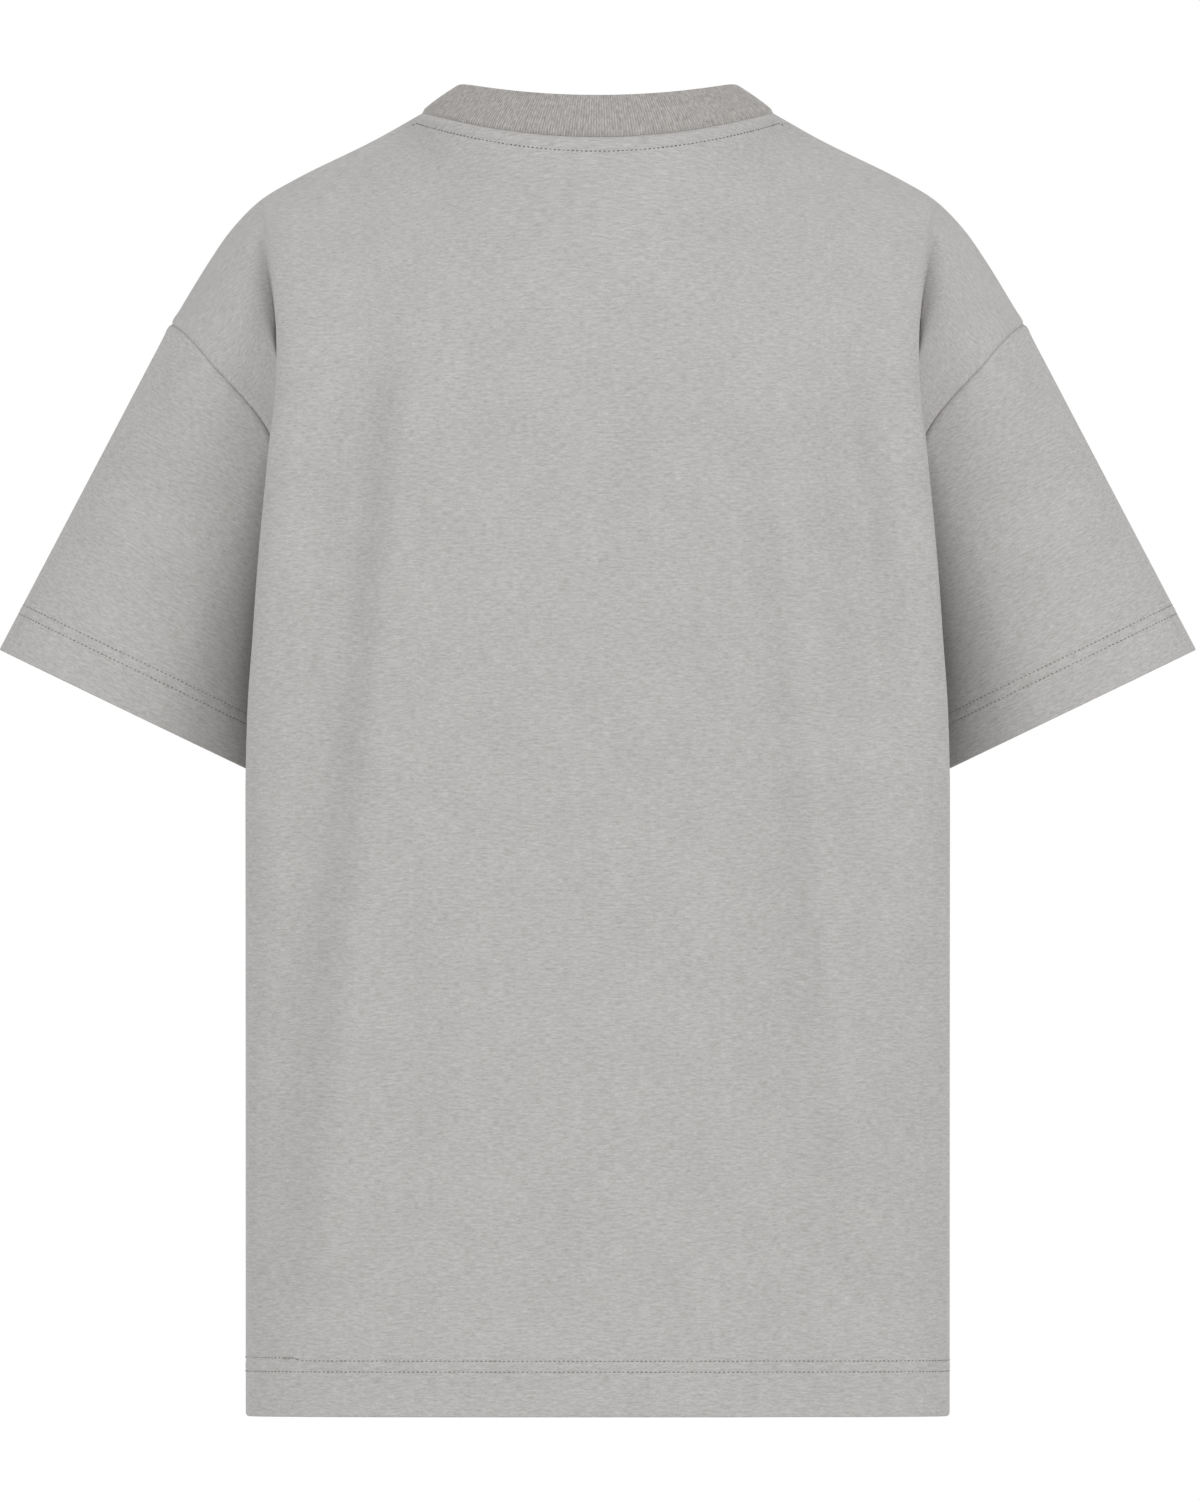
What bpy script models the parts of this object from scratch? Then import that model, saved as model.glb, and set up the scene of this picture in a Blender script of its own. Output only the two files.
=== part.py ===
"""A short-sleeved, drop-shoulder crew neck t-shirt, filled out as when it is worn.

Five pieces are cut and sewn: back, front, two sleeves and a rib neck band.
+X is the wearer's right, +Y the wearer's front and +Z up. The origin is the middle
of the neck opening, level with the high shoulder points. Sizes are in millimetres
and become metres where the meshes are made.
"""

from collections import namedtuple
from math import asin, cos, exp, pi, sin, sqrt

import bpy
from mathutils import Vector

MM = 0.001
JERSEY_WALL = 1.6
RIB_WALL = 2.6
SEAM_GAP = 0.3
SHARP_ANGLE = 0.9

BACK = -1
FRONT = 1

# Neck seam: half its width, how far it lies behind and before the shoulder line, and its drop.
NECK_HALF = 100
NECK_REACH = {BACK: 66, FRONT: 74}
NECK_DROP = {BACK: 14.4, FRONT: 88}
NECK_FLATNESS = {BACK: 2.0, FRONT: 0.95}

# Top edge of the neck band, which leans in over the neck.
BAND_HALF = 79
BAND_REACH = {BACK: 58, FRONT: 63}
BAND_SIDE_HEIGHT = 16.5
BAND_MIDDLE_HEIGHT = {BACK: 9.4, FRONT: -64}
BAND_FLATNESS = {BACK: 2.0, FRONT: 1.15}

# The shoulder seam lies a little before the ridge of the shoulder.
SEAM_FORWARD = 4
ShoulderPoint = namedtuple("ShoulderPoint", "run half height")
SHOULDER = (
    ShoulderPoint(0, 100, 0),
    ShoulderPoint(32, 128, -16),
    ShoulderPoint(84, 174, -39),
    ShoulderPoint(105, 192, -50),
    ShoulderPoint(129, 209, -67),
    ShoulderPoint(150, 221, -84),
    ShoulderPoint(192, 243.3, -120.6),
)
NECK_RUN = 125
FOLD_RUN = 105
SHOULDER_RUN = SHOULDER[-1].run
NECK_SHARE = NECK_RUN / (NECK_RUN + FOLD_RUN)

# The armhole seam from the shoulder point (0) to the underarm point (1).
ArmholePoint = namedtuple("ArmholePoint", "share half reach height")
ARMHOLE = (
    ArmholePoint(0.00, 243.3, 0, -120.6),
    ArmholePoint(0.15, 236, 31, -126),
    ArmholePoint(0.31, 219.5, 54, -144.6),
    ArmholePoint(0.54, 187, 61, -184),
    ArmholePoint(0.75, 174, 44, -226),
    ArmholePoint(1.00, 178, 0, -250),
)

# Level sections of the body: half its width at the folded edge, its depth behind and before,
# where the folded edge lies in that depth, and the half width at the side seam.
# Each panel rounds off towards its folded edge by a power curve, whose power is the squareness.
Section = namedtuple("Section", "height half back front edge side")
SECTIONS = (
    Section(-184, 186, 115, 112, 89, 172),
    Section(-258, 193, 117, 116, 86, 171),
    Section(-300, 196, 117, 116, 83, 167),
    Section(-345, 199, 117, 115, 80, 170),
    Section(-390, 200, 117, 115, 74, 176),
    Section(-460, 200, 118, 115, 64, 187),
    Section(-560, 200, 119, 116, 54, 195),
    Section(-743, 200, 121, 118, 46, 199),
)
BLADE_HEIGHT = SECTIONS[0].height
UNDERARM_HEIGHT = SECTIONS[1].height
HEM_HEIGHT = SECTIONS[-1].height
HOLLOW_REACH = 0.5
SQUARENESS = 3

# How each column of the upper panel leaves the neck or shoulder seam, and how it comes down
# to the level of the shoulder blades. The share runs from the middle (0) to the fold (1).
Column = namedtuple("Column", "share out away down lean rise")
COLUMNS = {
    BACK: (
        Column(0.00, 0, 16, 36, 0, 66),
        Column(NECK_SHARE, 3, 30, 38, 2, 92),
        Column(0.80, 0, 52, 20, 0, 76),
        Column(1.00, -3, 54, 11, -10, 56),
    ),
    FRONT: (
        Column(0.00, 0, 14, 22, 0, 40),
        Column(NECK_SHARE, 3, 24, 18, 2, 58),
        Column(0.80, 0, 46, 12, 0, 60),
        Column(1.00, -3, 54, 11, -10, 56),
    ),
}
BLADE_SHARE = 0.70

# The hollow behind the folded edge of the body, along the armhole: a steep wall under the
# edge, then a slope that comes up again within about this share of the strip.
Hollow = namedtuple("Hollow", "share depth")
HOLLOWS = (
    Hollow(0.00, 0),
    Hollow(0.14, 0),
    Hollow(0.22, 9),
    Hollow(0.40, 20),
    Hollow(0.60, 20),
    Hollow(0.80, 10),
    Hollow(1.00, 0),
)
HOLLOW_UNDERCUT = 0.45
HOLLOW_WALL = 0.03
HOLLOW_WIDTH = 0.2

# Soft folds that hang in the panels: where each starts and ends, its width and its depth.
# A negative depth is a ridge. Half is measured to the wearer's right.
Drape = namedtuple("Drape", "face top_half top_height low_half low_height width depth")
DRAPES = (
    Drape(BACK, -118, -80, -172, -700, 26, 7),
    Drape(BACK, -100, -150, -146, -620, 24, -3),
    Drape(BACK, 152, -110, 166, -360, 20, 5),
    Drape(BACK, 118, -150, 168, -680, 24, -6),
    Drape(BACK, 104, -330, 130, -743, 26, 4),
    Drape(FRONT, -122, -120, -160, -743, 26, 6),
    Drape(FRONT, 120, -110, 168, -690, 24, 7),
    Drape(FRONT, 96, -260, 128, -743, 26, -4),
)
DRAPE_FADE = 130

# The sleeve's open end is an oval that slopes down towards the body.
CUFF_TIP = (341, -306.7)
CUFF_SLOPE = 0.449
CUFF_HALF_WIDTH = 82
CUFF_HALF_DEPTH = 44

# Under the arm the sleeve bows away from the body, so that the seam is a bend and not a crease.
UNDERARM_BOW = 8

# Grid lines. Columns divide the neck seam, then close up towards the fold, then share the strip.
NECK_STEPS = 6
FOLD_STEPS = 6
STRIP_SHARES = (0.05, 0.12, 0.22, 0.38, 0.58, 0.8, 1.0)
UPPER_SHARES = (0, 0.06, 0.13, 0.20, 0.28, 0.37, 0.47, 0.58, 0.70, 0.85, 1.0)
LOWER_HEIGHTS = (-265, -290, -325, -360, -400, -445, -500, -560, -620, -682, HEM_HEIGHT)
SLEEVE_SHARES = (0, 0.12, 0.27, 0.44, 0.62, 0.81, 1.0)
BAND_SHARES = (0, 0.12, 0.5, 1.0)


def read_off(rows, key, column):
    """Read a column of a table at a key, along a smooth curve that never overshoots."""
    keys = [row[0] for row in rows]
    values = [getattr(row, column) for row in rows]
    if keys[0] > keys[-1]:
        keys = [-each for each in keys]
        key = -key
    key = min(max(key, keys[0]), keys[-1])
    steps = [b - a for a, b in zip(keys, keys[1:])]
    slopes = [(b - a) / step for a, b, step in zip(values, values[1:], steps)]
    tangents = [slopes[0]]
    for before, after in zip(slopes, slopes[1:]):
        rising = before * after > 0
        tangents.append(2 * before * after / (before + after) if rising else 0)
    tangents.append(slopes[-1])
    place = max(i for i in range(len(steps)) if key >= keys[i])
    t = (key - keys[place]) / steps[place]
    start = (1 + 2 * t) * (1 - t) ** 2 * values[place]
    start += t * (1 - t) ** 2 * steps[place] * tangents[place]
    end = t * t * (3 - 2 * t) * values[place + 1]
    end += t * t * (t - 1) * steps[place] * tangents[place + 1]
    return start + end


def shoulder_seam(run):
    return Vector((read_off(SHOULDER, run, "half"), SEAM_FORWARD, read_off(SHOULDER, run, "height")))


def neck_seam(turn, face):
    """The neck seam, from the middle (0) to the high shoulder point (a quarter turn)."""
    along = sin(turn)
    inward = max(cos(turn), 0)
    drop = NECK_DROP[face] * inward ** NECK_FLATNESS[face]
    return Vector((NECK_HALF * along, SEAM_FORWARD * along + face * NECK_REACH[face] * inward, -drop))


def band_edge(turn, face):
    """The free top edge of the neck band, over the neck seam's point of the same turn."""
    along = sin(turn)
    inward = max(cos(turn), 0)
    fall = BAND_SIDE_HEIGHT - BAND_MIDDLE_HEIGHT[face]
    height = BAND_SIDE_HEIGHT - fall * inward ** BAND_FLATNESS[face]
    return Vector((BAND_HALF * along, SEAM_FORWARD * along + face * BAND_REACH[face] * inward, height))


def top_edge(share, face):
    """The panel's top edge from its middle (0) to where the fold starts (1)."""
    if share <= NECK_SHARE:
        return neck_seam(share / NECK_SHARE * pi / 2, face)
    return shoulder_seam((share - NECK_SHARE) / (1 - NECK_SHARE) * FOLD_RUN)


def section(share, strip, height, face):
    """A level section: across the panel to the folded edge, then round the side."""
    half = read_off(SECTIONS, height, "half")
    depth = read_off(SECTIONS, height, "back" if face == BACK else "front")
    edge = read_off(SECTIONS, height, "edge")
    if strip <= 0:
        round_off = max(0, 1 - share ** SQUARENESS) ** (1 / SQUARENESS)
        return Vector((half * share, face * (edge + (depth - edge) * round_off), height))
    side = read_off(SECTIONS, height, "side")
    sunk = sin(min(1, strip / HOLLOW_REACH) * pi / 2) ** 2
    return Vector((half - (half - side) * sunk, face * edge * (1 - strip), height))


def column_point(share, down, face):
    """A point of the upper panel between its middle and the fold."""
    if down > BLADE_SHARE:
        below = (down - BLADE_SHARE) / (1 - BLADE_SHARE)
        height = BLADE_HEIGHT + (UNDERARM_HEIGHT - BLADE_HEIGHT) * below
        return section(share, 0, height, face)
    start = top_edge(share, face)
    end = section(share, 0, BLADE_HEIGHT, face)
    way = {name: read_off(COLUMNS[face], share, name) for name in Column._fields[1:]}
    leave = Vector((way["out"], face * way["away"], -way["down"]))
    arrive = Vector((way["lean"], 0, way["rise"]))
    t = down / BLADE_SHARE
    point = start * (1 - t) ** 3 + (start + leave) * 3 * t * (1 - t) ** 2
    return point + (end + arrive) * 3 * t * t * (1 - t) + end * t ** 3


def armhole_seam(down, face):
    reach = face * read_off(ARMHOLE, down, "reach") + SEAM_FORWARD * (1 - down)
    return Vector((read_off(ARMHOLE, down, "half"), reach, read_off(ARMHOLE, down, "height")))


def strip_point(strip, down, face):
    """A point between the fold and the armhole seam, a patch spanned by its four edges."""
    if strip == 1:
        return armhole_seam(down, face)
    left = column_point(1, down, face)
    right = armhole_seam(down, face)
    top = shoulder_seam(FOLD_RUN + (SHOULDER_RUN - FOLD_RUN) * strip)
    bottom = section(1, strip, UNDERARM_HEIGHT, face)
    corners = (column_point(1, 0, face) * (1 - strip) + armhole_seam(0, face) * strip) * (1 - down)
    corners += (column_point(1, 1, face) * (1 - strip) + armhole_seam(1, face) * strip) * down
    point = left * (1 - strip) + right * strip + top * (1 - down) + bottom * down - corners
    wall = sin(min(1, strip / HOLLOW_WALL) * pi / 2) ** 2
    sink = read_off(HOLLOWS, down, "depth") * wall * exp(-(strip / HOLLOW_WIDTH) ** 1.3)
    return point + Vector((-HOLLOW_UNDERCUT * sink, -face * sink, 0))


def neck_shares():
    return [NECK_SHARE * step / NECK_STEPS for step in range(NECK_STEPS + 1)]


def half_panel(face):
    """Rows of points from the middle of a panel to its right edge, from the neck to the hem."""
    start = asin(NECK_SHARE)
    turns = [start + (pi / 2 - start) * step / FOLD_STEPS for step in range(1, FOLD_STEPS + 1)]
    shares = [(share, 0) for share in neck_shares()]
    shares += [(sin(turn), 0) for turn in turns]
    shares += [(1, strip) for strip in STRIP_SHARES]
    rows = []
    for down in UPPER_SHARES:
        row = []
        for share, strip in shares:
            row.append(strip_point(strip, down, face) if strip else column_point(share, down, face))
        rows.append(row)
    for height in LOWER_HEIGHTS:
        rows.append([section(share, strip, height, face) for share, strip in shares])
    return rows


def draped(point, face):
    """Sink a panel's point into the soft folds that pass it."""
    sink = 0
    for drape in DRAPES:
        if drape.face != face or not drape.low_height <= point.z <= drape.top_height:
            continue
        along = (drape.top_height - point.z) / (drape.top_height - drape.low_height)
        middle = drape.top_half + (drape.low_half - drape.top_half) * along
        from_end = drape.top_height - point.z
        if drape.low_height > HEM_HEIGHT:
            from_end = min(from_end, point.z - drape.low_height)
        fade = sin(min(1, from_end / DRAPE_FADE) * pi / 2) ** 2
        sink += drape.depth * fade * exp(-((point.x - middle) / drape.width) ** 2)
    return point - Vector((0, face * sink, 0))


def mirrored(point):
    return Vector((-point.x, point.y, point.z))


def panel(face):
    """A whole panel, its columns running so that its faces point outwards."""
    rows = []
    for half in half_panel(face):
        row = [mirrored(point) for point in reversed(half[1:])] + half
        inside = slice(len(STRIP_SHARES) + 1, -len(STRIP_SHARES) - 1)
        row[inside] = [draped(point, face) for point in row[inside]]
        rows.append(row if face == BACK else row[::-1])
    return rows


def cuff_edge(turn, face):
    """The sleeve's open end, from its outer tip (0) to the underarm (half a turn)."""
    slope = Vector((cos(CUFF_SLOPE), 0, sin(CUFF_SLOPE)))
    middle = Vector((CUFF_TIP[0], 0, CUFF_TIP[1])) - slope * CUFF_HALF_WIDTH
    return middle + slope * CUFF_HALF_WIDTH * cos(turn) + Vector((0, face * CUFF_HALF_DEPTH * sin(turn), 0))


def right_sleeve():
    """Rows round the sleeve from the armhole to the cuff, starting at the underarm."""
    round_the_arm = [(down, BACK) for down in reversed(UPPER_SHARES)]
    round_the_arm += [(down, FRONT) for down in UPPER_SHARES[1:]]
    rows = []
    for along in SLEEVE_SHARES:
        row = []
        for down, face in round_the_arm:
            point = armhole_seam(down, face).lerp(cuff_edge(down * pi, face), along)
            bow = UNDERARM_BOW * max(0, -cos(down * pi)) ** 2 * sin(pi * sqrt(along))
            row.append(point + Vector((bow, 0, 0)))
        rows.append(row)
    return rows


def neck_band():
    """Rows round the neck from the band's free edge down to its seam."""
    turns = [share / NECK_SHARE * pi / 2 for share in neck_shares()]
    quarters = [(turn, BACK) for turn in turns] + [(turn, FRONT) for turn in reversed(turns[:-1])]
    rows = []
    for along in BAND_SHARES:
        half = [band_edge(turn, face).lerp(neck_seam(turn, face), along) for turn, face in quarters]
        rows.append([mirrored(point) for point in reversed(half[1:])] + half)
    return rows


def place_key(point):
    return tuple(round(value, 2) for value in point)


def outward_directions(pieces):
    """Normals at every point, shared by the pieces that meet there."""
    sums = {}
    for rows in pieces:
        for upper, lower in zip(rows, rows[1:]):
            for i in range(len(upper) - 1):
                corners = (upper[i], lower[i], lower[i + 1], upper[i + 1])
                normal = (corners[2] - corners[0]).cross(corners[3] - corners[1])
                for corner in corners:
                    key = place_key(corner)
                    sums[key] = sums.get(key, Vector()) + normal
    return {key: value.normalized() for key, value in sums.items()}


def drawn_in(point, neighbour, along, outward):
    """Half the seam gap, from a seam's point into its own piece."""
    step = neighbour - point
    step -= outward * step.dot(outward)
    along = (along - outward * along.dot(outward)).normalized()
    step -= along * step.dot(along)
    return step.normalized() * SEAM_GAP / 2


def rim_edges(columns, last_row, closed):
    """The grid's border as pairs of point numbers, each pair run so that its rim faces outwards."""
    low = last_row * columns
    edges = []
    for c in range(columns if closed else columns - 1):
        after = (c + 1) % columns
        edges += [(c, after), (low + after, low + c)]
    if not closed:
        for r in range(last_row):
            first = r * columns
            last = first + columns - 1
            edges += [(first + columns, first), (last, last + columns)]
    return edges


def rim_faces(a, b, back, first_is_lower):
    """Two triangles, split the same way on both pieces that share a seam."""
    if first_is_lower:
        return [(a, b, back + b), (a, back + b, back + a)]
    return [(a, b, back + a), (b, back + b, back + a)]


def cloth_wall(name, rows, outward, thickness, seams, closed, material):
    """A closed wall on a grid of points, half its thickness to each side of them."""
    last_row = len(rows) - 1
    columns = len(rows[0]) - (1 if closed else 0)
    outer = []
    inner = []
    for r, row in enumerate(rows):
        for c in range(columns):
            normal = outward[place_key(row[c])]
            before = row[(c - 1) % columns] if closed else row[max(c - 1, 0)]
            after = row[(c + 1) % columns] if closed else row[min(c + 1, columns - 1)]
            above = rows[max(r - 1, 0)][c]
            below = rows[min(r + 1, last_row)][c]
            shift = Vector()
            if r == 0 and "top" in seams:
                shift += drawn_in(row[c], below, after - before, normal)
            if r == last_row and "bottom" in seams:
                shift += drawn_in(row[c], above, after - before, normal)
            if c == 0 and "sides" in seams:
                shift += drawn_in(row[c], after, below - above, normal)
            if c == columns - 1 and "sides" in seams:
                shift += drawn_in(row[c], before, below - above, normal)
            outer.append((row[c] + shift + normal * thickness / 2) * MM)
            inner.append((row[c] + shift - normal * thickness / 2) * MM)
    points = outer + inner
    back = len(outer)
    faces = []
    for r in range(last_row):
        for c in range(columns if closed else columns - 1):
            a = r * columns + c
            b = r * columns + (c + 1) % columns
            faces.append((a, a + columns, b + columns, b))
            faces.append((back + b, back + b + columns, back + a + columns, back + a))
    flat_rows = [point for row in rows for point in row[:columns]]
    for a, b in rim_edges(columns, last_row, closed):
        faces += rim_faces(a, b, back, place_key(flat_rows[a]) < place_key(flat_rows[b]))
    mesh = bpy.data.meshes.new(name)
    mesh.from_pydata(points, [], faces)
    mesh.shade_smooth()
    mesh.set_sharp_from_angle(angle=SHARP_ANGLE)
    mesh.materials.append(material)
    cloth = bpy.data.objects.new(name, mesh)
    bpy.context.scene.collection.objects.link(cloth)
    return cloth


def fabric(name, colour, roughness):
    material = bpy.data.materials.new(name)
    material.use_nodes = True
    shader = material.node_tree.nodes["Principled BSDF"]
    shader.inputs["Base Color"].default_value = (*colour, 1)
    shader.inputs["Roughness"].default_value = roughness
    shader.inputs["Metallic"].default_value = 0
    return material


def clear_scene():
    for each in list(bpy.data.objects):
        bpy.data.objects.remove(each)


def build_shirt():
    back = panel(BACK)
    front = panel(FRONT)
    sleeve_right = right_sleeve()
    sleeve_left = [[mirrored(point) for point in reversed(row)] for row in sleeve_right]
    band = neck_band()
    outward = outward_directions((back, front, sleeve_right, sleeve_left, band))
    all_round = ("top", "sides")
    jersey = (0.455, 0.445, 0.435)
    rib = (0.405, 0.392, 0.378)
    pieces = (
        ("back_panel", back, JERSEY_WALL, all_round, False, jersey),
        ("front_panel", front, JERSEY_WALL, all_round, False, jersey),
        ("sleeve_right", sleeve_right, JERSEY_WALL, ("top",), True, jersey),
        ("sleeve_left", sleeve_left, JERSEY_WALL, ("top",), True, jersey),
        ("neck_band", band, RIB_WALL, ("bottom",), True, rib),
    )
    for name, rows, thickness, seams, closed, colour in pieces:
        material = fabric(name + "_fabric", colour, 0.9)
        cloth_wall(name, rows, outward, thickness, seams, closed, material)


clear_scene()
build_shirt()
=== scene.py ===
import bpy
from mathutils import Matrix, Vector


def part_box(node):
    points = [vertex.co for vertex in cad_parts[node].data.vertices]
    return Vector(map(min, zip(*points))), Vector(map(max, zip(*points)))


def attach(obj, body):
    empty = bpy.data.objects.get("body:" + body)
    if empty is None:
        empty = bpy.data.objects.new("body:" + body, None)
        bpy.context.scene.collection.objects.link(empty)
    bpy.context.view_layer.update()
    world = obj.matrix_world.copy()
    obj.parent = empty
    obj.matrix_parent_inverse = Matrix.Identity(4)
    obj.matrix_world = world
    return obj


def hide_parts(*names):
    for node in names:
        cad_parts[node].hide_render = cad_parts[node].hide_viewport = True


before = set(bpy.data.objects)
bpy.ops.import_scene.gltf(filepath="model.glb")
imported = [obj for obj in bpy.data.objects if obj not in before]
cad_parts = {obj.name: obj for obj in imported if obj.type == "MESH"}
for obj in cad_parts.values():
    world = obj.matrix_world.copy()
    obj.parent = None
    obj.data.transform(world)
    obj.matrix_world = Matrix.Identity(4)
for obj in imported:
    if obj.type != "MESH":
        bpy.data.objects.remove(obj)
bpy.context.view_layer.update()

from math import cos, pi, sin

import bpy
import numpy as np
from mathutils import Vector

# Crew neck t-shirt, filled out as when worn: heather grey single jersey with a 1x1 rib neck band.
# Each cut piece is a thin closed wall on its solid's form, and rows of stitches lie on the hems.
# Sizes are in millimetres until a mesh is made.
mm = 0.001
back = -1
front = 1
mirrorX = np.array([-1, 1, 1])


def smoothStep(value):
    value = np.clip(value, 0, 1)
    return value * value * (3 - 2 * value)


def bell(distance, middle, width):
    return np.exp(-((distance - middle) / width) ** 2)


def stack(x, y, z):
    return np.stack(np.broadcast_arrays(x, y, z), axis=-1).astype(float)


def readOff(table, key, column):
    # reads one column of a table along a smooth curve that never overshoots its rows
    rows = np.array(table["rows"], float)
    values = rows[:, table["columns"].index(column)]
    way = 1 if rows[0, 0] < rows[-1, 0] else -1
    keys = way * rows[:, 0]
    key = np.clip(way * np.asarray(key, float), keys[0], keys[-1])
    steps = np.diff(keys)
    slopes = np.diff(values) / steps
    product = slopes[:-1] * slopes[1:]
    total = slopes[:-1] + slopes[1:]
    middle = np.where(product > 0, 2 * product / np.where(total == 0, 1, total), 0)
    tangents = np.concatenate([slopes[:1], middle, slopes[-1:]])
    spot = np.clip(np.searchsorted(keys, key, side="right") - 1, 0, len(steps) - 1)
    t = (key - keys[spot]) / steps[spot]
    start = (1 + 2 * t) * (1 - t) ** 2 * values[spot] + t * (1 - t) ** 2 * steps[spot] * tangents[spot]
    end = t * t * (3 - 2 * t) * values[spot + 1] + t * t * (t - 1) * steps[spot] * tangents[spot + 1]
    return start + end


print("form: neck, shoulders, armholes and level sections")
neckForm = {
    "half": 100, "forward": 4, "run": 125,
    "reach": {back: 66, front: 74}, "drop": {back: 14.4, front: 88}, "flatness": {back: 2.0, front: 0.95},
    "bandHalf": 79, "bandReach": {back: 58, front: 63}, "bandSide": 16.5,
    "bandMiddle": {back: 9.4, front: -64}, "bandFlatness": {back: 2.0, front: 1.15},
}
shoulderForm = {
    "columns": ("run", "half", "height"),
    "rows": (
        (0, 100, 0), (32, 128, -16), (84, 174, -39), (105, 192, -50),
        (129, 209, -67), (150, 221, -84), (192, 243.3, -120.6),
    ),
    "foldRun": 105, "fullRun": 192,
}
armholeForm = {
    "columns": ("share", "half", "reach", "height"),
    "rows": (
        (0.00, 243.3, 0, -120.6), (0.15, 236, 31, -126), (0.31, 219.5, 54, -144.6),
        (0.54, 187, 61, -184), (0.75, 174, 44, -226), (1.00, 178, 0, -250),
    ),
}
bodyForm = {
    "columns": ("height", "half", "back", "front", "edge", "side"),
    "rows": (
        (-184, 186, 115, 112, 89, 172), (-258, 193, 117, 116, 86, 171), (-300, 196, 117, 116, 83, 167),
        (-345, 199, 117, 115, 80, 170), (-390, 200, 117, 115, 74, 176), (-460, 200, 118, 115, 64, 187),
        (-560, 200, 119, 116, 54, 195), (-743, 200, 121, 118, 46, 199),
    ),
    "squareness": 3, "blade": -184, "underarm": -258, "hollowReach": 0.5, "tuckOut": 7, "tuckUp": 8,
    "hem": round(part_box("back_panel")[0].z / mm),
}
neckShare = neckForm["run"] / (neckForm["run"] + shoulderForm["foldRun"])
columnForm = {
    "columns": ("share", "out", "away", "down", "lean", "rise"),
    back: (
        (0, 0, 16, 36, 0, 66), (neckShare, 3, 30, 38, 2, 92),
        (0.8, 0, 52, 20, 0, 76), (1, -3, 54, 11, -10, 56),
    ),
    front: (
        (0, 0, 14, 22, 0, 40), (neckShare, 3, 24, 18, 2, 58),
        (0.8, 0, 46, 12, 0, 60), (1, -3, 54, 11, -10, 56),
    ),
    "blade": 0.7,
}
hollowForm = {
    "columns": ("share", "depth"),
    "rows": ((0, 0), (0.14, 0), (0.22, 9), (0.4, 22), (0.6, 24), (0.8, 12), (1, 0)),
    "undercut": 0.05, "wall": 0.04, "width": 0.3,
}
cuffForm = {"tip": (341, -306.7), "slope": 0.449, "halfWidth": 82, "halfDepth": 44, "bow": 8}


def neckSeam(turn, side):
    inward = np.maximum(np.cos(turn), 0)
    y = neckForm["forward"] * np.abs(np.sin(turn)) + side * neckForm["reach"][side] * inward
    z = -neckForm["drop"][side] * inward ** neckForm["flatness"][side]
    return stack(neckForm["half"] * np.sin(turn), y, z)


def bandEdge(turn, side):
    inward = np.maximum(np.cos(turn), 0)
    y = neckForm["forward"] * np.abs(np.sin(turn)) + side * neckForm["bandReach"][side] * inward
    fall = neckForm["bandSide"] - neckForm["bandMiddle"][side]
    z = neckForm["bandSide"] - fall * inward ** neckForm["bandFlatness"][side]
    return stack(neckForm["bandHalf"] * np.sin(turn), y, z)


def shoulderSeam(run):
    half = readOff(shoulderForm, run, "half")
    return stack(half, neckForm["forward"], readOff(shoulderForm, run, "height"))


def topEdge(share, side):
    neck = neckSeam(np.minimum(share / neckShare, 1) * pi / 2, side)
    shoulder = shoulderSeam(np.maximum(share - neckShare, 0) / (1 - neckShare) * shoulderForm["foldRun"])
    return np.where((share <= neckShare)[..., None], neck, shoulder)


def section(share, strip, height, side):
    # across the panel to its folded edge (share 0 to 1), then round the side to the seam (strip 0 to 1)
    half = readOff(bodyForm, height, "half")
    depth = readOff(bodyForm, height, "back" if side == back else "front")
    edge = readOff(bodyForm, height, "edge")
    seam = readOff(bodyForm, height, "side")
    square = bodyForm["squareness"]
    roundOff = np.maximum(0, 1 - share ** square) ** (1 / square)
    broad = stack(half * share, side * (edge + (depth - edge) * roundOff), height)
    sunk = np.sin(np.minimum(1, strip / bodyForm["hollowReach"]) * pi / 2) ** 2
    tuck = smoothStep((strip - 0.72) / 0.28) * smoothStep((height - bodyForm["underarm"] + 18) / 18)
    x = half - (half - seam) * sunk + bodyForm["tuckOut"] * tuck
    narrow = stack(x, side * edge * (1 - strip), height + bodyForm["tuckUp"] * tuck)
    return np.where((strip > 0)[..., None], narrow, broad)


def columnPoint(share, down, side):
    # from the neck or shoulder seam over the shoulder blade, then down the level sections
    blade = columnForm["blade"]
    ways = {"columns": columnForm["columns"], "rows": columnForm[side]}
    fall = (bodyForm["underarm"] - bodyForm["blade"]) * np.maximum(down - blade, 0) / (1 - blade)
    start = topEdge(share, side)
    end = section(share, 0 * share, bodyForm["blade"] + 0 * share, side)
    away = side * readOff(ways, share, "away")
    leave = stack(readOff(ways, share, "out"), away, -readOff(ways, share, "down"))
    arrive = stack(readOff(ways, share, "lean"), 0, readOff(ways, share, "rise"))
    t = np.minimum(down / blade, 1)[..., None]
    curve = start * (1 - t) ** 3 + (start + leave) * 3 * t * (1 - t) ** 2
    curve = curve + (end + arrive) * 3 * t * t * (1 - t) + end * t ** 3
    level = section(share, 0 * share, bodyForm["blade"] + fall, side)
    return np.where((down > blade)[..., None], level, curve)


def armholeSeam(down, side):
    y = side * readOff(armholeForm, down, "reach") + neckForm["forward"] * (1 - down)
    return stack(readOff(armholeForm, down, "half"), y, readOff(armholeForm, down, "height"))


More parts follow.
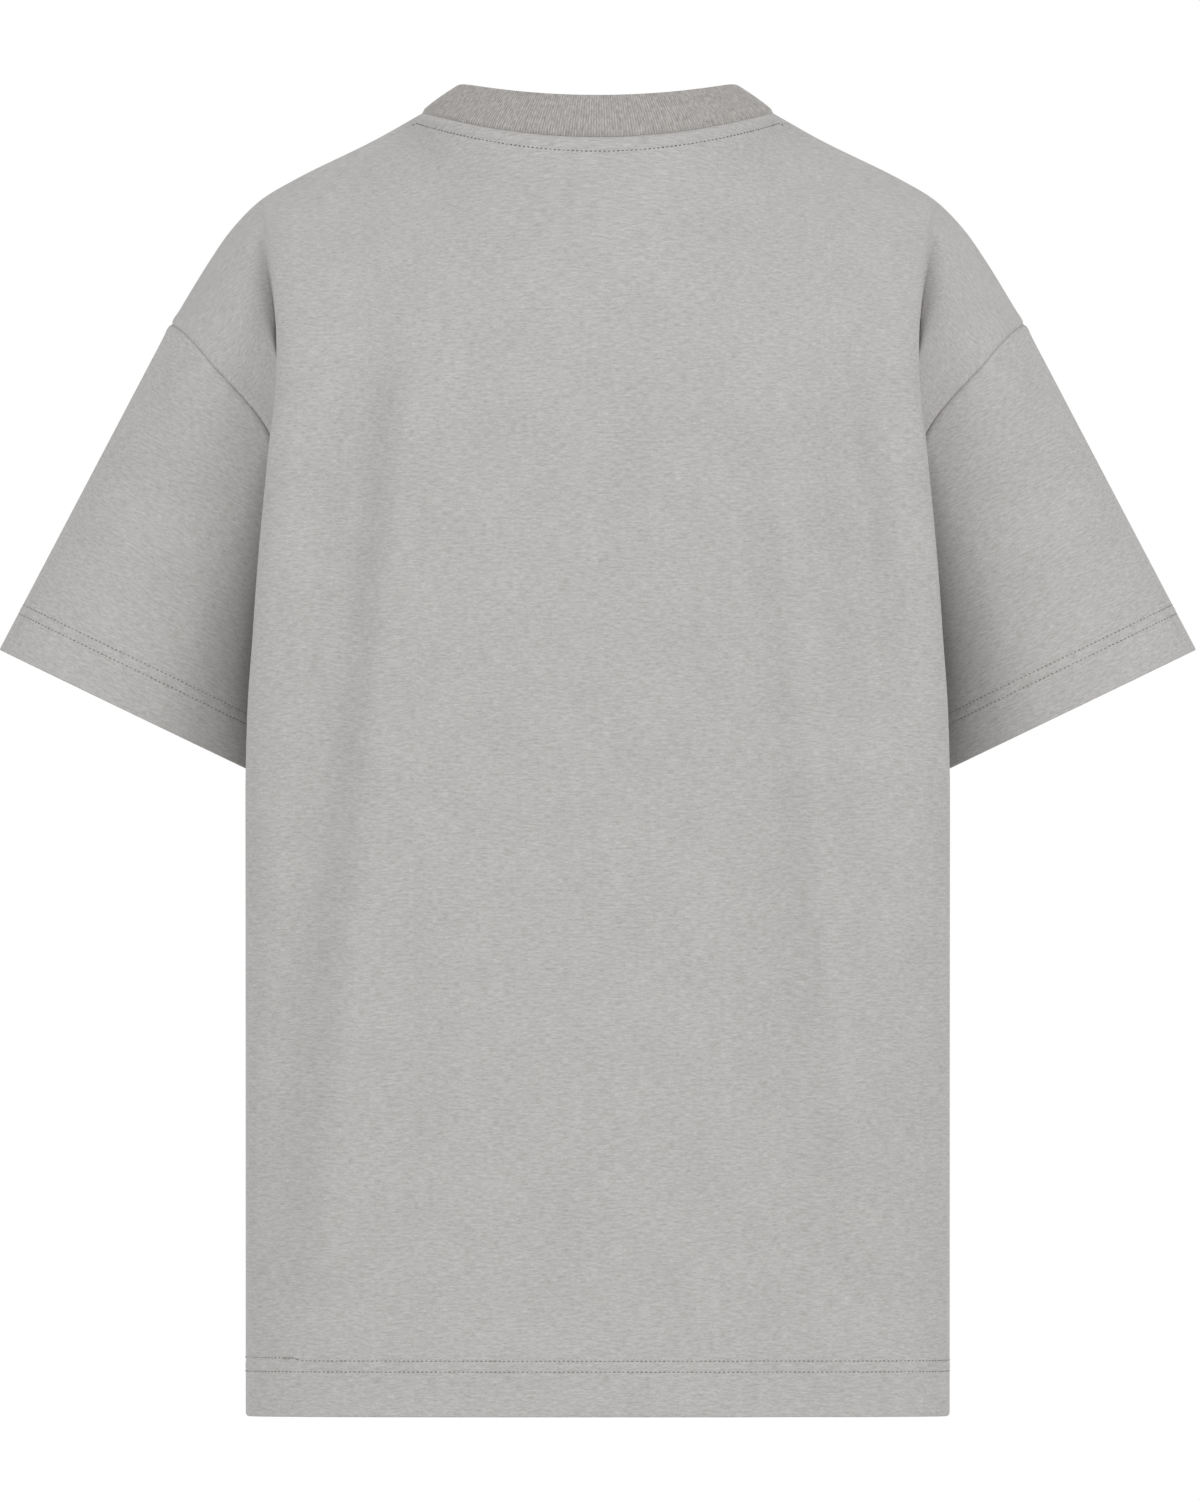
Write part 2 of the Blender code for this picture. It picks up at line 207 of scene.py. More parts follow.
def stripPoint(strip, down, side):
    # the patch between the folded edge and the armhole seam, spanned by its four edges
    one = np.ones_like(strip)
    s = strip[..., None]
    d = down[..., None]
    left = columnPoint(one, down, side)
    right = armholeSeam(down, side)
    top = shoulderSeam(shoulderForm["foldRun"] + (shoulderForm["fullRun"] - shoulderForm["foldRun"]) * strip)
    bottom = section(one, np.maximum(strip, 1e-6), one * bodyForm["underarm"], side)
    corners = (columnPoint(one, 0 * one, side) * (1 - s) + armholeSeam(0 * one, side) * s) * (1 - d)
    corners = corners + (columnPoint(one, one, side) * (1 - s) + armholeSeam(one, side) * s) * d
    point = left * (1 - s) + right * s + top * (1 - d) + bottom * d - corners
    wall = np.sin(np.minimum(1, strip / hollowForm["wall"]) * pi / 2) ** 2
    sink = readOff(hollowForm, down, "depth") * wall * np.exp(-(strip / hollowForm["width"]) ** 1.3)
    return point + stack(-hollowForm["undercut"] * sink, -side * sink, 0)


def cuffEdge(turn, side):
    slope = np.array([cos(cuffForm["slope"]), 0, sin(cuffForm["slope"])])
    middle = np.array([cuffForm["tip"][0], 0, cuffForm["tip"][1]]) - slope * cuffForm["halfWidth"]
    across = cuffForm["halfWidth"] * np.cos(turn)[..., None] * slope
    return middle + across + stack(0, side * cuffForm["halfDepth"] * np.sin(turn), 0)


def runLengths(grid, axis):
    step = np.linalg.norm(np.diff(grid, axis=axis), axis=2)
    pad = [(0, 0), (0, 0)]
    pad[axis] = (1, 0)
    return np.pad(np.cumsum(step, axis=axis), pad)


def gridNormals(grid, closed):
    wrapped = np.concatenate([grid[:, -2:-1], grid, grid[:, 1:2]], axis=1) if closed else grid
    normal = np.cross(np.gradient(wrapped, axis=0), np.gradient(wrapped, axis=1))
    normal = normal[:, 1:-1] if closed else normal
    return normal / np.maximum(np.linalg.norm(normal, axis=2, keepdims=True), 1e-9)


def clothWall(name, grid, outer, inner, flat, closed, material):
    # a closed wall: the grid moved out and in along its normals, and joined all round its rim
    normal = gridNormals(grid, closed)
    outerPoints = grid + normal * outer[..., None]
    innerPoints = grid + normal * inner[..., None]
    rows, flatColumns = grid.shape[:2]
    columns = flatColumns - 1 if closed else flatColumns
    count = rows * columns
    points = np.concatenate([each[:, :columns].reshape(-1, 3) for each in (outerPoints, innerPoints)])

    def corner(layer, r, c):
        # the index of a corner's point, and of its place on the flat cloth
        point = layer * count + r * columns + c % columns
        return np.stack(np.broadcast_arrays(point, r * flatColumns + c), -1)

    places = np.meshgrid(np.arange(rows - 1), np.arange(flatColumns - 1), indexing="ij")
    r, c = (each.ravel() for each in places)
    quads = [
        (corner(0, r, c), corner(0, r + 1, c), corner(0, r + 1, c + 1), corner(0, r, c + 1)),
        (corner(1, r, c + 1), corner(1, r + 1, c + 1), corner(1, r + 1, c), corner(1, r, c)),
    ]
    c = np.arange(flatColumns - 1)
    low = rows - 1
    quads += [
        (corner(0, 0, c), corner(0, 0, c + 1), corner(1, 0, c + 1), corner(1, 0, c)),
        (corner(0, low, c + 1), corner(0, low, c), corner(1, low, c), corner(1, low, c + 1)),
    ]
    if not closed:
        r = np.arange(rows - 1)
        last = columns - 1
        quads += [
            (corner(0, r + 1, 0), corner(0, r, 0), corner(1, r, 0), corner(1, r + 1, 0)),
            (corner(0, r, last), corner(0, r + 1, last), corner(1, r + 1, last), corner(1, r, last)),
        ]
    faces = np.concatenate([np.stack(quad, 1) for quad in quads])
    mesh = bpy.data.meshes.new(name)
    mesh.from_pydata((points * mm).tolist(), [], faces[..., 0].tolist())
    layer = mesh.uv_layers.new(name="flatCloth")
    layer.data.foreach_set("uv", (flat.reshape(-1, 2)[faces[..., 1].ravel()] * mm).ravel())
    mesh.materials.append(material)
    mesh.shade_smooth()
    piece = bpy.data.objects.new(name, mesh)
    bpy.context.scene.collection.objects.link(piece)
    return piece, outerPoints, normal


def linear(hexColour):
    # an sRGB hex colour as the linear values that a shader takes
    values = [int(hexColour[i:i + 2], 16) / 255 for i in (1, 3, 5)]
    return [v / 12.92 if v <= 0.04045 else ((v + 0.055) / 1.055) ** 2.4 for v in values] + [1]


def addNode(tree, kind, settings=None, links=None):
    node = tree.nodes.new(kind)
    for key, value in (settings or {}).items():
        if isinstance(key, str) and hasattr(node, key):
            setattr(node, key, value)
        else:
            node.inputs[key].default_value = value
    for key, source in (links or {}).items():
        tree.links.new(source, node.inputs[key])
    return node


def newMaterial(name):
    material = bpy.data.materials.new(name)
    material.use_nodes = True
    tree = material.node_tree
    return material, tree, tree.nodes["Principled BSDF"]


multiply = {"data_type": "RGBA", "blend_type": "MULTIPLY", 0: 1.0}


def mixedValue(tree, share, first, second):
    return addNode(tree, "ShaderNodeMix", {"data_type": "FLOAT", 0: share}, {2: first, 3: second}).outputs[0]


def heatherKnit(name, look):
    # carded cotton with a little dark polyester, knitted: the eye sees short streaks along the courses,
    # softly clouded, on a matt and slightly fuzzy face
    material, tree, shader = newMaterial(name)
    cloth = addNode(tree, "ShaderNodeUVMap", {"uv_map": "flatCloth"}).outputs[0]

    def spun(length, height, detail):
        scale = (1 / (length * mm), 1 / (height * mm), 1)
        scaled = addNode(tree, "ShaderNodeMapping", {"Scale": scale}, {"Vector": cloth})
        noise = {"noise_dimensions": "2D", "Scale": 1.0, "Detail": detail, "Roughness": 0.6}
        return addNode(tree, "ShaderNodeTexNoise", noise, {"Vector": scaled.outputs[0]}).outputs["Fac"]

    streaks = spun(*look["streak"], 2.0)
    longStreaks = spun(*look["longStreak"], 1.0)
    clouds = spun(*look["cloud"], 2.0)
    fuzz = spun(*look["fuzz"], 3.0)
    drawn = mixedValue(tree, 0.4, streaks, longStreaks)
    mixed = mixedValue(tree, 0.3, drawn, fuzz)
    spread = {"From Min": look["toneSpread"][0], "From Max": look["toneSpread"][1]}
    tone = addNode(tree, "ShaderNodeMapRange", spread, {"Value": mixed}).outputs[0]
    tones = {"data_type": "RGBA", 6: linear(look["dark"]), 7: linear(look["light"])}
    colour = addNode(tree, "ShaderNodeMix", tones, {0: tone}).outputs[2]
    dimming = {"From Min": 0.25, "From Max": 0.75, "To Min": look["cloudShade"], "To Max": 1.0}
    shade = addNode(tree, "ShaderNodeMapRange", dimming, {"Value": clouds}).outputs[0]
    tinted = addNode(tree, "ShaderNodeMix", multiply, {6: colour, 7: shade})
    if "ribPitch" in look:
        # the purl stitches between two ribs lie deep and catch less light
        across = addNode(tree, "ShaderNodeSeparateXYZ", links={"Vector": cloth}).outputs["X"]
        turning = {"operation": "MULTIPLY", 1: 2 * pi / (look["ribPitch"] * mm)}
        turn = addNode(tree, "ShaderNodeMath", turning, {0: across}).outputs[0]
        ridge = addNode(tree, "ShaderNodeMath", {"operation": "COSINE"}, {0: turn}).outputs[0]
        sinking = {"From Min": -1.0, "To Min": look["ribShade"], "To Max": 1.0}
        depth = addNode(tree, "ShaderNodeMapRange", sinking, {"Value": ridge}).outputs[0]
        tinted = addNode(tree, "ShaderNodeMix", multiply, {6: tinted.outputs[2], 7: depth})
    tree.links.new(tinted.outputs[2], shader.inputs["Base Color"])
    lift = mixedValue(tree, 0.35, fuzz, streaks)
    relief = {"Strength": look["bump"], "Distance": look["lift"] * mm}
    bump = addNode(tree, "ShaderNodeBump", relief, {"Height": lift})
    tree.links.new(bump.outputs[0], shader.inputs["Normal"])
    shader.inputs["Roughness"].default_value = 0.95
    shader.inputs["Specular IOR Level"].default_value = 0.2
    shader.inputs["Sheen Weight"].default_value = look["sheen"]
    shader.inputs["Sheen Roughness"].default_value = 0.5
    return material


def sewingThread(name, colour):
    # spun polyester thread, matt. Painted shade: its colour is darker than the cloth to stand for the
    # shadowed pits where the thread dives in, so a stitch shows by its edges
    material, tree, shader = newMaterial(name)
    place = addNode(tree, "ShaderNodeTexCoord").outputs["Object"]
    noise = addNode(
        tree, "ShaderNodeTexNoise", {"Scale": 1 / (thread["fibre"] * mm), "Detail": 2.0}, {"Vector": place}
    )
    shade = addNode(
        tree, "ShaderNodeMapRange", {"From Min": 0.3, "From Max": 0.7, "To Min": 0.82, "To Max": 1.08},
        {"Value": noise.outputs["Fac"]},
    )
    tinted = addNode(tree, "ShaderNodeMix", {**multiply, 6: linear(colour)}, {7: shade.outputs[0]})
    tree.links.new(tinted.outputs[2], shader.inputs["Base Color"])
    shader.inputs["Roughness"].default_value = 0.7
    return material


# sizes of the heather's marks along and across the courses, in mm
jersey = {
    "streak": (3.2, 0.75), "longStreak": (7.5, 1.4), "cloud": (38, 30), "fuzz": (0.85, 0.7),
    "toneSpread": (0.34, 0.66), "dark": "#9C9A98", "light": "#B8B6B5", "cloudShade": 0.95,
    "bump": 0.35, "lift": 0.5, "sheen": 0.15,
}
# a little coarser than the real fine rib, so that single ribs show
rib = dict(
    jersey, dark="#94918E", light="#B7B4B1", streak=(1.1, 2.4), longStreak=(2.2, 5), cloud=(14, 9),
    cloudShade=0.93, ribPitch=1.6, ribShade=0.76,
)
# painted shade: both thread colours are darker than the cloth, standing for the shadow in the needle pits
# along each row
thread = {"hem": "#77736E", "neck": "#57524B", "fibre": 1.2}
jerseyKnit = heatherKnit("heatherSingleJersey", jersey)
ribKnit = heatherKnit("heatherRibKnit", rib)
hemThreadPaintedShade = sewingThread("hemStitchPaintedPitShade", thread["hem"])
neckThreadPaintedShade = sewingThread("neckStitchPaintedPitShade", thread["neck"])


print("back and front panels")
panel = {
    "thick": 1.1, "easeReach": 60, "easeSteps": 60, "easeShare": 0.93,
    "neckColumns": 34, "foldColumns": 30, "stripColumns": 30, "upperRows": 56, "lowerRows": 76,
    "seamLines": (0.6, 1.2, 2.0, 3.0, 4.5, 7.0), "stripReach": 75,
    "topLines": (0.5, 1.1, 1.8, 2.8, 4.2, 5.8, 7.4, 8.3, 8.9, 9.3, 9.7, 10.3, 11.4, 13.5, 17.0),
    "hemLines": (
        0.25, 0.6, 1.1, 2.0, 4.0, 8.0, 13.0, 18.0, 22.0, 24.4, 25.1, 25.7, 26.3, 27.2, 28.8,
        30.6, 31.3, 31.9, 32.5, 33.2, 34.2, 36.5,
    ),
    "cornerRound": 2.0, "neckRow": 9.3, "hemRows": (25.7, 31.9), "hemFold": 33.2,
    "groove": 0.9, "puff": 0.35,
}
# soft folds: where each starts and ends (half, height), its sideways bend, width, depth (below 0 a
# ridge) and the length in which it fades out
bodyFolds = {
    back: (
        (-124, -70, -196, -720, 4, 16, 8.5, 130), (-98, -70, -168, -720, 4, 16, -8, 130),
        (128, -80, 164, -400, 3, 16, 9.5, 110), (92, -110, 160, -700, 2, 17, -8.5, 130),
        (88, -340, 112, -743, 0, 19, 6, 130),
    ),
    front: (
        (-122, -120, -160, -743, 0, 26, 6, 130), (120, -110, 168, -690, 0, 24, 7, 130),
        (96, -260, 128, -743, 0, 26, -4, 130),
    ),
}


def softFolds(grid, side):
    sink = np.zeros(grid.shape[:2])
    height = grid[..., 2]
    for topHalf, topHeight, lowHalf, lowHeight, bend, width, depth, fade in bodyFolds[side]:
        along = np.clip((topHeight - height) / (topHeight - lowHeight), 0, 1)
        ends = np.clip((topHeight - height) / fade, 0, 1)
        if lowHeight > bodyForm["hem"]:
            ends = np.minimum(ends, np.clip((height - lowHeight) / fade, 0, 1))
        middle = topHalf + (lowHalf - topHalf) * along + 4 * bend * along * (1 - along)
        sink += depth * np.sin(ends * pi / 2) ** 2 * bell(grid[..., 0], middle, width)
    return sink


def upperPoints(share, strip, down, side):
    return np.where((strip > 0)[..., None], stripPoint(strip, down, side), columnPoint(share, down, side))


def panelColumns():
    # shares across to the folded edge, then strip shares round to the seam, close together beside it
    start = np.arcsin(neckShare)
    fold = np.sin(np.linspace(start, pi / 2, panel["foldColumns"] + 1))[1:]
    near = 1 - np.array(panel["seamLines"]) / panel["stripReach"]
    spread = smoothStep(np.linspace(0, 1, panel["stripColumns"] + 1))[1:-1]
    strip = np.sort(np.concatenate([spread[spread < near.min() * 0.98], near, [1.0]]))
    share = np.concatenate([np.linspace(0, neckShare, panel["neckColumns"] + 1), fold, np.ones(len(strip))])
    return share, np.concatenate([np.zeros(len(share) - len(strip)), strip])


def columnDowns(share, strip, side):
    # how far down each grid line lies in each column, so that the top lines run beside the seam
    trial = np.linspace(0, 1, 241)[:, None] + 0 * share
    lengths = runLengths(upperPoints(0 * trial + share, 0 * trial + strip, trial, side), 0)
    near = np.array((0, *panel["topLines"]))
    spread = np.linspace(0, 1, panel["upperRows"] + 1)[1:]
    downs = []
    for column in range(len(share)):
        reach = lengths[-1, column]
        lines = np.concatenate([near, near[-1] + (reach - near[-1]) * spread])
        downs.append(np.interp(lines, lengths[:, column], trial[:, column]))
    return np.array(downs).T


def panelGrid(side):
    share, strip = panelColumns()
    down = columnDowns(share, strip, side)
    upper = upperPoints(0 * down + share, 0 * down + strip, down, side)
    hemLines = bodyForm["hem"] + np.array((0, *panel["hemLines"]))
    plain = np.linspace(bodyForm["underarm"], bodyForm["hem"], panel["lowerRows"] + 1)[1:]
    heights = np.sort(np.concatenate([plain[plain > hemLines.max() + 3], hemLines]))[::-1]
    # the corner at the high shoulder point fades out within a hand's breadth of the seam
    ease = smoothStep(runLengths(upper, 0) / panel["easeReach"])[:, 1:-1, None]
    ease = ease * (share[1:-1, None] < panel["easeShare"])
    for _ in range(panel["easeSteps"]):
        upper[:, 1:-1] += ease * (0.5 * (upper[:, :-2] + upper[:, 2:]) - upper[:, 1:-1])
    level = heights[:, None] + 0 * share
    lower = section(0 * level + share, 0 * level + strip, level, side)
    half = np.concatenate([upper, lower])
    grid = np.concatenate([half[:, :0:-1] * mirrorX, half], axis=1)
    lift = grid[..., 2] - bodyForm["hem"]
    pull = panel["cornerRound"] * (1 - np.sqrt(np.clip(1 - (1 - lift / panel["cornerRound"]) ** 2, 0, 1)))
    pull *= (lift < panel["cornerRound"]) * smoothStep((np.abs(grid[..., 0]) - 180) / 20)
    grid[..., 0] -= np.sign(grid[..., 0]) * pull
    mask = smoothStep((1 - share) / 0.05) * (strip == 0)
    mask = np.concatenate([mask[:0:-1], mask])
    grid[..., 1] -= side * softFolds(grid, side) * mask
    return (grid if side == back else grid[:, ::-1]), len(upper) - 1


def seamGroove(distance):
    return -panel["groove"] * bell(distance, 0, 0.9) + panel["puff"] * bell(distance, 4, 2.4)


def roundedEdge(distance, radius):
    rounding = np.sqrt(np.clip(1 - (1 - distance / radius) ** 2, 0, 1))
    return rounding * (distance < radius) + (distance >= radius)


def hemShape(distance, rows, fold, thick):
    # outer side: rounded edge and a furrow under each row; inner side: the turned-up layer
    edge = roundedEdge(distance, thick)
    furrow = sum(-0.1 * bell(distance, row, 0.8) for row in rows) + 0.16 * bell(distance, sum(rows) / 2, 1.6)
    return edge, furrow, -smoothStep((fold + 0.5 - distance) / 1.0)


def makePanel(name, side):
    grid, underarmRow = panelGrid(side)
    across = runLengths(grid, 1)
    downward = runLengths(grid, 0)
    middle = grid.shape[1] // 2
    level = across[underarmRow] - across[underarmRow, middle]
    flat = np.stack([level + 0 * downward, downward[underarmRow] - downward], -1)
    sideDistance = np.minimum(across, across[:, -1:] - across)
    topDistance = downward
    hemDistance = grid[..., 2] - bodyForm["hem"]
    edge, furrow, turnedUp = hemShape(hemDistance, panel["hemRows"], panel["hemFold"], panel["thick"])
    half = panel["thick"] / 2
    onNeck = smoothStep((neckForm["half"] + 4 - np.abs(grid[..., 0])) / 8)
    # the strip that the neck tape holds stands up a little, and its row of stitches sinks
    neckFurrow = 0.8 * bell(topDistance, 4.2, 3.0) - 0.25 * bell(topDistance, panel["neckRow"], 0.9)
    relief = seamGroove(sideDistance) + seamGroove(topDistance) + onNeck * neckFurrow + furrow
    relief = np.maximum(relief, -panel["groove"])
    outer = (half + relief) * edge
    inner = -half * edge + 0.6 * np.minimum(relief, 0) + panel["thick"] * turnedUp * edge
    piece, surface, normal = clothWall(name, grid, outer, inner, flat, False, jerseyKnit)
    return piece, surface, normal, {"top": topDistance, "hem": hemDistance}


backPanel, backSurface, backNormal, backDistance = makePanel("backPanel", back)
frontPanel, frontSurface, frontNormal, frontDistance = makePanel("frontPanel", front)

print("sleeves")
sleeve = {
    "thick": 1.1, "columns": 96, "rows": 44, "seamLines": (0.6, 1.2, 2.0, 3.0, 4.5, 7.0, 11.0),
    "hemLines": (
        0.25, 0.6, 1.1, 2.0, 4.0, 8.0, 13.0, 18.0, 21.4, 22.7, 23.4, 24.1, 25.2, 26.3, 27.6,
        28.4, 29.0, 29.6, 30.5, 31.5, 34.0,
    ),
    "hemRows": (23.4, 29.0), "hemFold": 30.5,
}


def makeSleeve(name, mirrored):
    down = np.linspace(1, 0, sleeve["columns"] + 1)
    down = np.concatenate([down, down[-2::-1]])
    isBack = np.arange(len(down)) <= sleeve["columns"]
    seam = np.where(isBack[:, None], armholeSeam(down, back), armholeSeam(down, front))
    cuff = np.where(isBack[:, None], cuffEdge(down * pi, back), cuffEdge(down * pi, front))
    axis = np.array([sin(cuffForm["slope"]), 0, -cos(cuffForm["slope"])])
    reach = np.linalg.norm(cuff - seam, axis=1)
    axialReach = (cuff - seam) @ axis
    near = np.array((0, *sleeve["seamLines"]))[:, None] / reach
    far = 1 - np.array((*sleeve["hemLines"][::-1], 0))[:, None] / axialReach
    spread = np.linspace(0, 1, sleeve["rows"] + 1)[1:-1, None]
    along = np.concatenate([near, near[-1] + (far[0] - near[-1]) * spread, far])
    grid = seam * (1 - along[..., None]) + cuff * along[..., None]
    bow = cuffForm["bow"] * np.maximum(0, -np.cos(down * pi)) ** 2 * np.sin(pi * np.sqrt(along))
    grid[..., 0] += bow
    hemDistance = (1 - along) * axialReach
    seamDistance = along * reach
    around = runLengths(grid, 1)[len(grid) // 2]
    flat = np.stack([around + 0 * hemDistance, -hemDistance], -1)
    edge, furrow, turnedUp = hemShape(hemDistance, sleeve["hemRows"], sleeve["hemFold"], sleeve["thick"])
    half = sleeve["thick"] / 2
    relief = np.maximum(seamGroove(seamDistance) + furrow, -panel["groove"])
    outer = (half + relief) * edge
    inner = -half * edge + 0.6 * np.minimum(relief, 0) + sleeve["thick"] * turnedUp * edge
    if mirrored:
        grid = grid[:, ::-1] * mirrorX
        outer, inner, flat, hemDistance = outer[:, ::-1], inner[:, ::-1], flat[:, ::-1], hemDistance[:, ::-1]
    piece, surface, normal = clothWall(name, grid, outer, inner, flat, True, jerseyKnit)
    return piece, surface, normal, {"hem": hemDistance}


sleeveRight, rightSurface, rightNormal, rightDistance = makeSleeve("sleeveRight", False)
sleeveLeft, leftSurface, leftNormal, leftDistance = makeSleeve("sleeveLeft", True)

print("neck band")
band = {
    "thick": 2.4, "ribDepth": 0.34, "columnsPerRib": 5, "bulge": 0.5, "cornerDrop": 1.6,
    "edgeLines": (0.0, 0.12, 0.35, 0.7, 1.2, 2.0, 3.4), "plainRows": 8,
}


def makeBand(name):
    turns = np.linspace(-pi, pi, 4001)
    side = np.where(np.abs(turns) <= pi / 2, back, front)
    folded = np.where(side == back, turns, np.sign(turns) * (pi - np.abs(turns)))

    def ring(turn, side, edge):
        return np.where((side == back)[:, None], edge(turn, back), edge(turn, front))

    seamRing = ring(folded, side, neckSeam)
    length = np.concatenate([[0], np.cumsum(np.linalg.norm(np.diff(seamRing, axis=0), axis=1))])
    ribs = round(length[-1] / rib["ribPitch"])
    even = np.linspace(0, length[-1], ribs * band["columnsPerRib"] + 1)
    turn = np.interp(even, length, turns)
    side = np.where(np.abs(turn) <= pi / 2, back, front)
    folded = np.where(side == back, turn, np.sign(turn) * (pi - np.abs(turn)))
    top = ring(folded, side, bandEdge)
    top[:, 2] -= band["cornerDrop"] * bell(np.abs(turn), pi / 2, 0.22)
    low = ring(folded, side, neckSeam)
    height = np.linalg.norm(low - top, axis=1)
    near = np.array(band["edgeLines"])[:, None] / height
    spread = np.linspace(0, 1, band["plainRows"] + 1)[1:-1, None]
    far = 1 - np.array((2.6, 1.6, 0.9, 0.4, 0.0))[:, None] / height
    share = np.concatenate([near, near[-1] + (far[0] - near[-1]) * spread, far])
    grid = top * (1 - share[..., None]) + low * share[..., None]
    topDistance = share * height
    seamDistance = (1 - share) * height
    normal = gridNormals(grid, True)
    grid = grid + normal * (band["bulge"] * np.sin(pi * share))[..., None]
    half = band["thick"] / 2
    edge = roundedEdge(topDistance, half)
    ridge = 0.5 + 0.5 * np.cos(2 * pi * ribs * even / length[-1]) + 0 * share
    groove = -1.1 * bell(seamDistance, 0, 1.6)
    outer = np.maximum((half + groove) * edge - band["ribDepth"] * (1 - ridge) * (0.3 + 0.7 * edge), -0.6)
    inner = -(half * edge - band["ribDepth"] * (1 - ridge) * (0.3 + 0.7 * edge))
    outer = np.where(topDistance < 1e-6, 0.12, outer)
    inner = np.where(topDistance < 1e-6, -0.12, inner)
    flat = np.stack([even * ribs * rib["ribPitch"] / length[-1] + 0 * share, -topDistance], -1)
    return clothWall(name, grid, outer, inner, flat, True, ribKnit)[0]


neckBand = makeBand("neckBand")

print("stitches")
stitch = {"pitch": 2.6, "length": 1.3, "radius": 0.27, "dip": 0.12, "sink": 0.16, "uneven": 0.09}


def stitchShape():
    # one stitch, lying along X: a short rod with bevelled ends
    bpy.ops.object.select_all(action="DESELECT")
    bpy.ops.mesh.primitive_cylinder_add(
        vertices=6, radius=stitch["radius"] * mm, depth=stitch["length"] * mm, rotation=(0, pi / 2, 0)
    )
    rod = bpy.context.active_object
    bpy.ops.object.transform_apply(location=False, rotation=True, scale=False)
    bpy.ops.object.mode_set(mode="EDIT")
    bpy.ops.mesh.select_all(action="DESELECT")
    bpy.ops.mesh.select_mode(type="FACE")
    bpy.ops.object.mode_set(mode="OBJECT")
    for face in rod.data.polygons:
        face.select = abs(face.normal.x) > 0.9
    bpy.ops.object.mode_set(mode="EDIT")
    bpy.ops.mesh.bevel(offset=0.5 * stitch["radius"] * mm, segments=1)
    bpy.ops.object.mode_set(mode="OBJECT")
    points = np.array([vertex.co for vertex in rod.data.vertices]) / mm
    faces = [tuple(face.vertices) for face in rod.data.polygons]
    bpy.data.objects.remove(rod)
    points[:, 2] -= stitch["dip"] * (2 * points[:, 0] / stitch["length"]) ** 2
    return points, faces


stitchPoints, stitchFaces = stitchShape()


def lineOn(surface, normal, distances, wanted):
    # the grid line at a wanted distance from an edge, with its normals
    row = int(np.argmin(np.abs(np.median(distances, axis=1) - wanted)))
    return surface[row], normal[row]


def stitchesAlong(line, normals, closed):
    length = np.concatenate([[0], np.cumsum(np.linalg.norm(np.diff(line, axis=0), axis=1))])
    count = int(length[-1] / stitch["pitch"])
    margin = 0 if closed else (length[-1] - count * stitch["pitch"]) / 2
    spots = margin + (np.arange(count) + 0.5) * (length[-1] - 2 * margin) / count

    def at(values, places):
        return np.stack([np.interp(places, length, values[:, i]) for i in range(3)], -1)

    centre = at(line, spots)
    along = at(line, spots + 0.5) - at(line, spots - 0.5)
    along /= np.linalg.norm(along, axis=1, keepdims=True)
    up = at(normals, spots)
    pull = stitch["uneven"] * (np.sin(1.9 * np.arange(count)) + np.sin(0.37 * np.arange(count) + 1))
    up -= along * np.sum(up * along, axis=1, keepdims=True)
    up /= np.linalg.norm(up, axis=1, keepdims=True)
    return centre + up * (stitch["radius"] - stitch["sink"] + pull)[:, None], along, up


def sew(name, runs, material):
    centre, along, up = (np.concatenate(each) for each in zip(*runs))
    across = np.cross(up, along)
    frames = np.stack([along, across, up], axis=1)
    points = (centre[:, None] + np.einsum("pk,nkj->npj", stitchPoints, frames)).reshape(-1, 3)
    count = len(stitchPoints)
    faces = [
        tuple(corner + count * n for corner in face) for n in range(len(centre)) for face in stitchFaces
    ]
    mesh = bpy.data.meshes.new(name)
    mesh.from_pydata((points * mm).tolist(), [], faces)
    mesh.shade_smooth()
    mesh.set_sharp_from_angle(angle=1.0)
    mesh.materials.append(material)
    piece = bpy.data.objects.new(name, mesh)
    bpy.context.scene.collection.objects.link(piece)
    return piece


def hemRuns(surface, normal, distance, rows, closed, lifted=False):
    runs = []
    for row in rows:
        line, normals = lineOn(surface, normal, distance["hem"], row)
        if lifted and row == max(rows):
            # where the seam was closed, the upper row starts a little higher
            line = line + np.array([0, 0, 1.7]) * smoothStep((-168 - line[:, :1]) / 4)
        runs.append(stitchesAlong(line, normals, closed))
        if lifted and row == max(rows):
            # the ends of the thread lie over each other where the row was closed
            ends = np.abs(line[:, 0] + 174) < 6
            for shift in (0.7, -0.5):
                beside = line[ends] + np.array([shift, 0, 0.3 * shift])
                runs.append(stitchesAlong(beside, normals[ends], False))
    return runs


bodyHemStitches = sew("bodyHemStitches", [
    *hemRuns(backSurface, backNormal, backDistance, panel["hemRows"], False, True),
    *hemRuns(frontSurface, frontNormal, frontDistance, panel["hemRows"], False),
], hemThreadPaintedShade)
sleeveStitchesRight = sew(
    "sleeveStitchesRight",
    hemRuns(rightSurface, rightNormal, rightDistance, sleeve["hemRows"], True), hemThreadPaintedShade,
)
sleeveStitchesLeft = sew(
    "sleeveStitchesLeft",
    hemRuns(leftSurface, leftNormal, leftDistance, sleeve["hemRows"], True), hemThreadPaintedShade,
)


def neckRun(surface, normal, distance):
    # the row keeps its distance from the neck seam, and past its ends it turns up to the shoulder seams
    past = np.maximum(np.abs(surface[0, :, 0]) - neckForm["half"], 0) * 1.15
    kept = np.flatnonzero(past < panel["neckRow"])
    wanted = np.sqrt(panel["neckRow"] ** 2 - past[kept] ** 2)

    def at(values):
        return np.array([
            [np.interp(reach, distance["top"][:, column], values[:, column, i]) for i in range(3)]
            for reach, column in zip(wanted, kept)
        ])

    return stitchesAlong(at(surface), at(normal), False)


neckStitches = sew("neckStitches", [neckRun(backSurface, backNormal, backDistance)], neckThreadPaintedShade)

